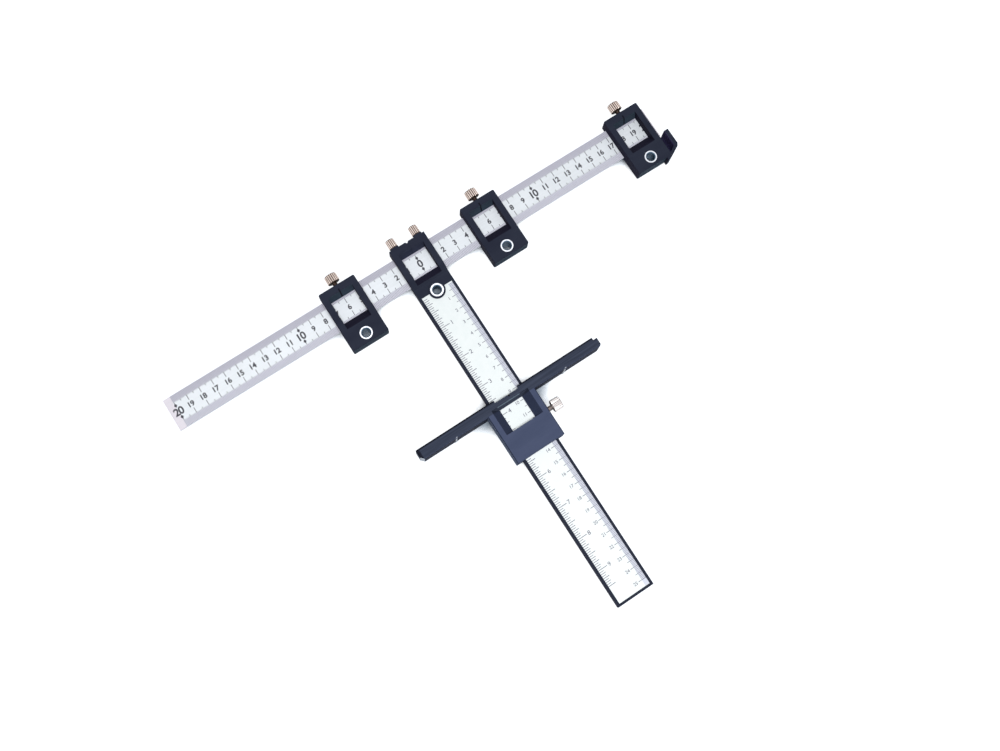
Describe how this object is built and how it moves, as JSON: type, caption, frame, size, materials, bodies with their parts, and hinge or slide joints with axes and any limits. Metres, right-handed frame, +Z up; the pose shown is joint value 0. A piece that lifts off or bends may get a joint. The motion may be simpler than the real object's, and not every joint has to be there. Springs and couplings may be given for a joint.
{
  "type": "drilling guide ruler",
  "caption": "T-shaped ruler for marking and drilling holes: blocks with steel drill bushes slide on a printed ruler, and a fence slides on the scaled arm.",
  "frame": {"origin": "the centre drill bush's axis on the working face (the flat underside)", "axes": "+X along the ruler to the hook end, +Y from the arm towards the head, +Z up from the working face"},
  "size_m": [0.4168, 0.3077, 0.023],
  "materials": {
    "ruler_metal": "satin, printed scales",
    "black_plastic": "fine moulded grain",
    "fence_plastic": "fine moulded grain",
    "bush_steel": "turned",
    "insert_brass": "turned",
    "pad_steel": "stamped",
    "screw_nickel": "knurled, nickel plated",
    "scale_strip": "satin film, printed scales"
  },
  "bodies": {
    "head_and_arm": {"head_arm": "black_plastic", "arm_scale": "scale_strip", "centre_bush": "bush_steel", "head_thread_inserts": "insert_brass", "head_clamp_pads": "pad_steel"},
    "ruler": {"ruler": "ruler_metal"},
    "fence": {"fence_body": "fence_plastic", "fence_thread_insert": "insert_brass"},
    "fence_screw": {"fence_thumb_screw": "screw_nickel"},
    "head_screw_left": {"head_screw_left": "screw_nickel"},
    "head_screw_right": {"head_screw_right": "screw_nickel"},
    "left_slider": {"left_slider_body": "black_plastic", "left_slider_drill_bush": "bush_steel", "left_slider_thread_insert": "insert_brass", "left_slider_clamp_pad": "pad_steel"},
    "left_slider_screw": {"left_slider_thumb_screw": "screw_nickel"},
    "right_slider": {"right_slider_body": "black_plastic", "right_slider_drill_bush": "bush_steel", "right_slider_thread_insert": "insert_brass", "right_slider_clamp_pad": "pad_steel"},
    "right_slider_screw": {"right_slider_thumb_screw": "screw_nickel"},
    "end_stop": {"end_stop_body": "black_plastic", "end_stop_drill_bush": "bush_steel", "end_stop_thread_insert": "insert_brass", "end_stop_clamp_pad": "pad_steel"},
    "end_stop_screw": {"end_stop_thumb_screw": "screw_nickel"}
  },
  "joints": [
    {"name": "ruler_slide", "type": "slide", "parent": "head_and_arm", "child": "ruler", "axis": [1, 0, 0], "range_m": [-0.018, 0.018]},
    {"name": "left_slider_slide", "type": "slide", "parent": "ruler", "child": "left_slider", "axis": [1, 0, 0], "range_m": [-0.125, 0.011]},
    {"name": "right_slider_slide", "type": "slide", "parent": "ruler", "child": "right_slider", "axis": [1, 0, 0], "range_m": [-0.011, 0.07]},
    {"name": "end_stop_slide", "type": "slide", "parent": "ruler", "child": "end_stop", "axis": [1, 0, 0], "range_m": [-0.027, 0.003]},
    {"name": "fence_slide", "type": "slide", "parent": "head_and_arm", "child": "fence", "axis": [0, 1, 0], "range_m": [-0.119, 0.08]},
    {"name": "left_slider_screw_turn", "type": "hinge", "parent": "left_slider", "child": "left_slider_screw", "pos_m": [-0.0596, 0.0476, 0.0083], "axis": [0, 1, 0], "continuous": true},
    {"name": "right_slider_screw_turn", "type": "hinge", "parent": "right_slider", "child": "right_slider_screw", "pos_m": [0.0602, 0.0476, 0.0083], "axis": [0, 1, 0], "continuous": true},
    {"name": "end_stop_screw_turn", "type": "hinge", "parent": "end_stop", "child": "end_stop_screw", "pos_m": [0.1882, 0.0476, 0.0083], "axis": [0, 1, 0], "continuous": true},
    {"name": "head_screw_left_turn", "type": "hinge", "parent": "head_and_arm", "child": "head_screw_left", "pos_m": [-0.00975, 0.046, 0.0083], "axis": [0, 1, 0], "continuous": true},
    {"name": "head_screw_right_turn", "type": "hinge", "parent": "head_and_arm", "child": "head_screw_right", "pos_m": [0.00975, 0.046, 0.0083], "axis": [0, 1, 0], "continuous": true},
    {"name": "fence_screw_turn", "type": "hinge", "parent": "fence", "child": "fence_screw", "pos_m": [0.0274, -0.1157, 0.0056], "axis": [1, 0, 0], "continuous": true}
  ]
}
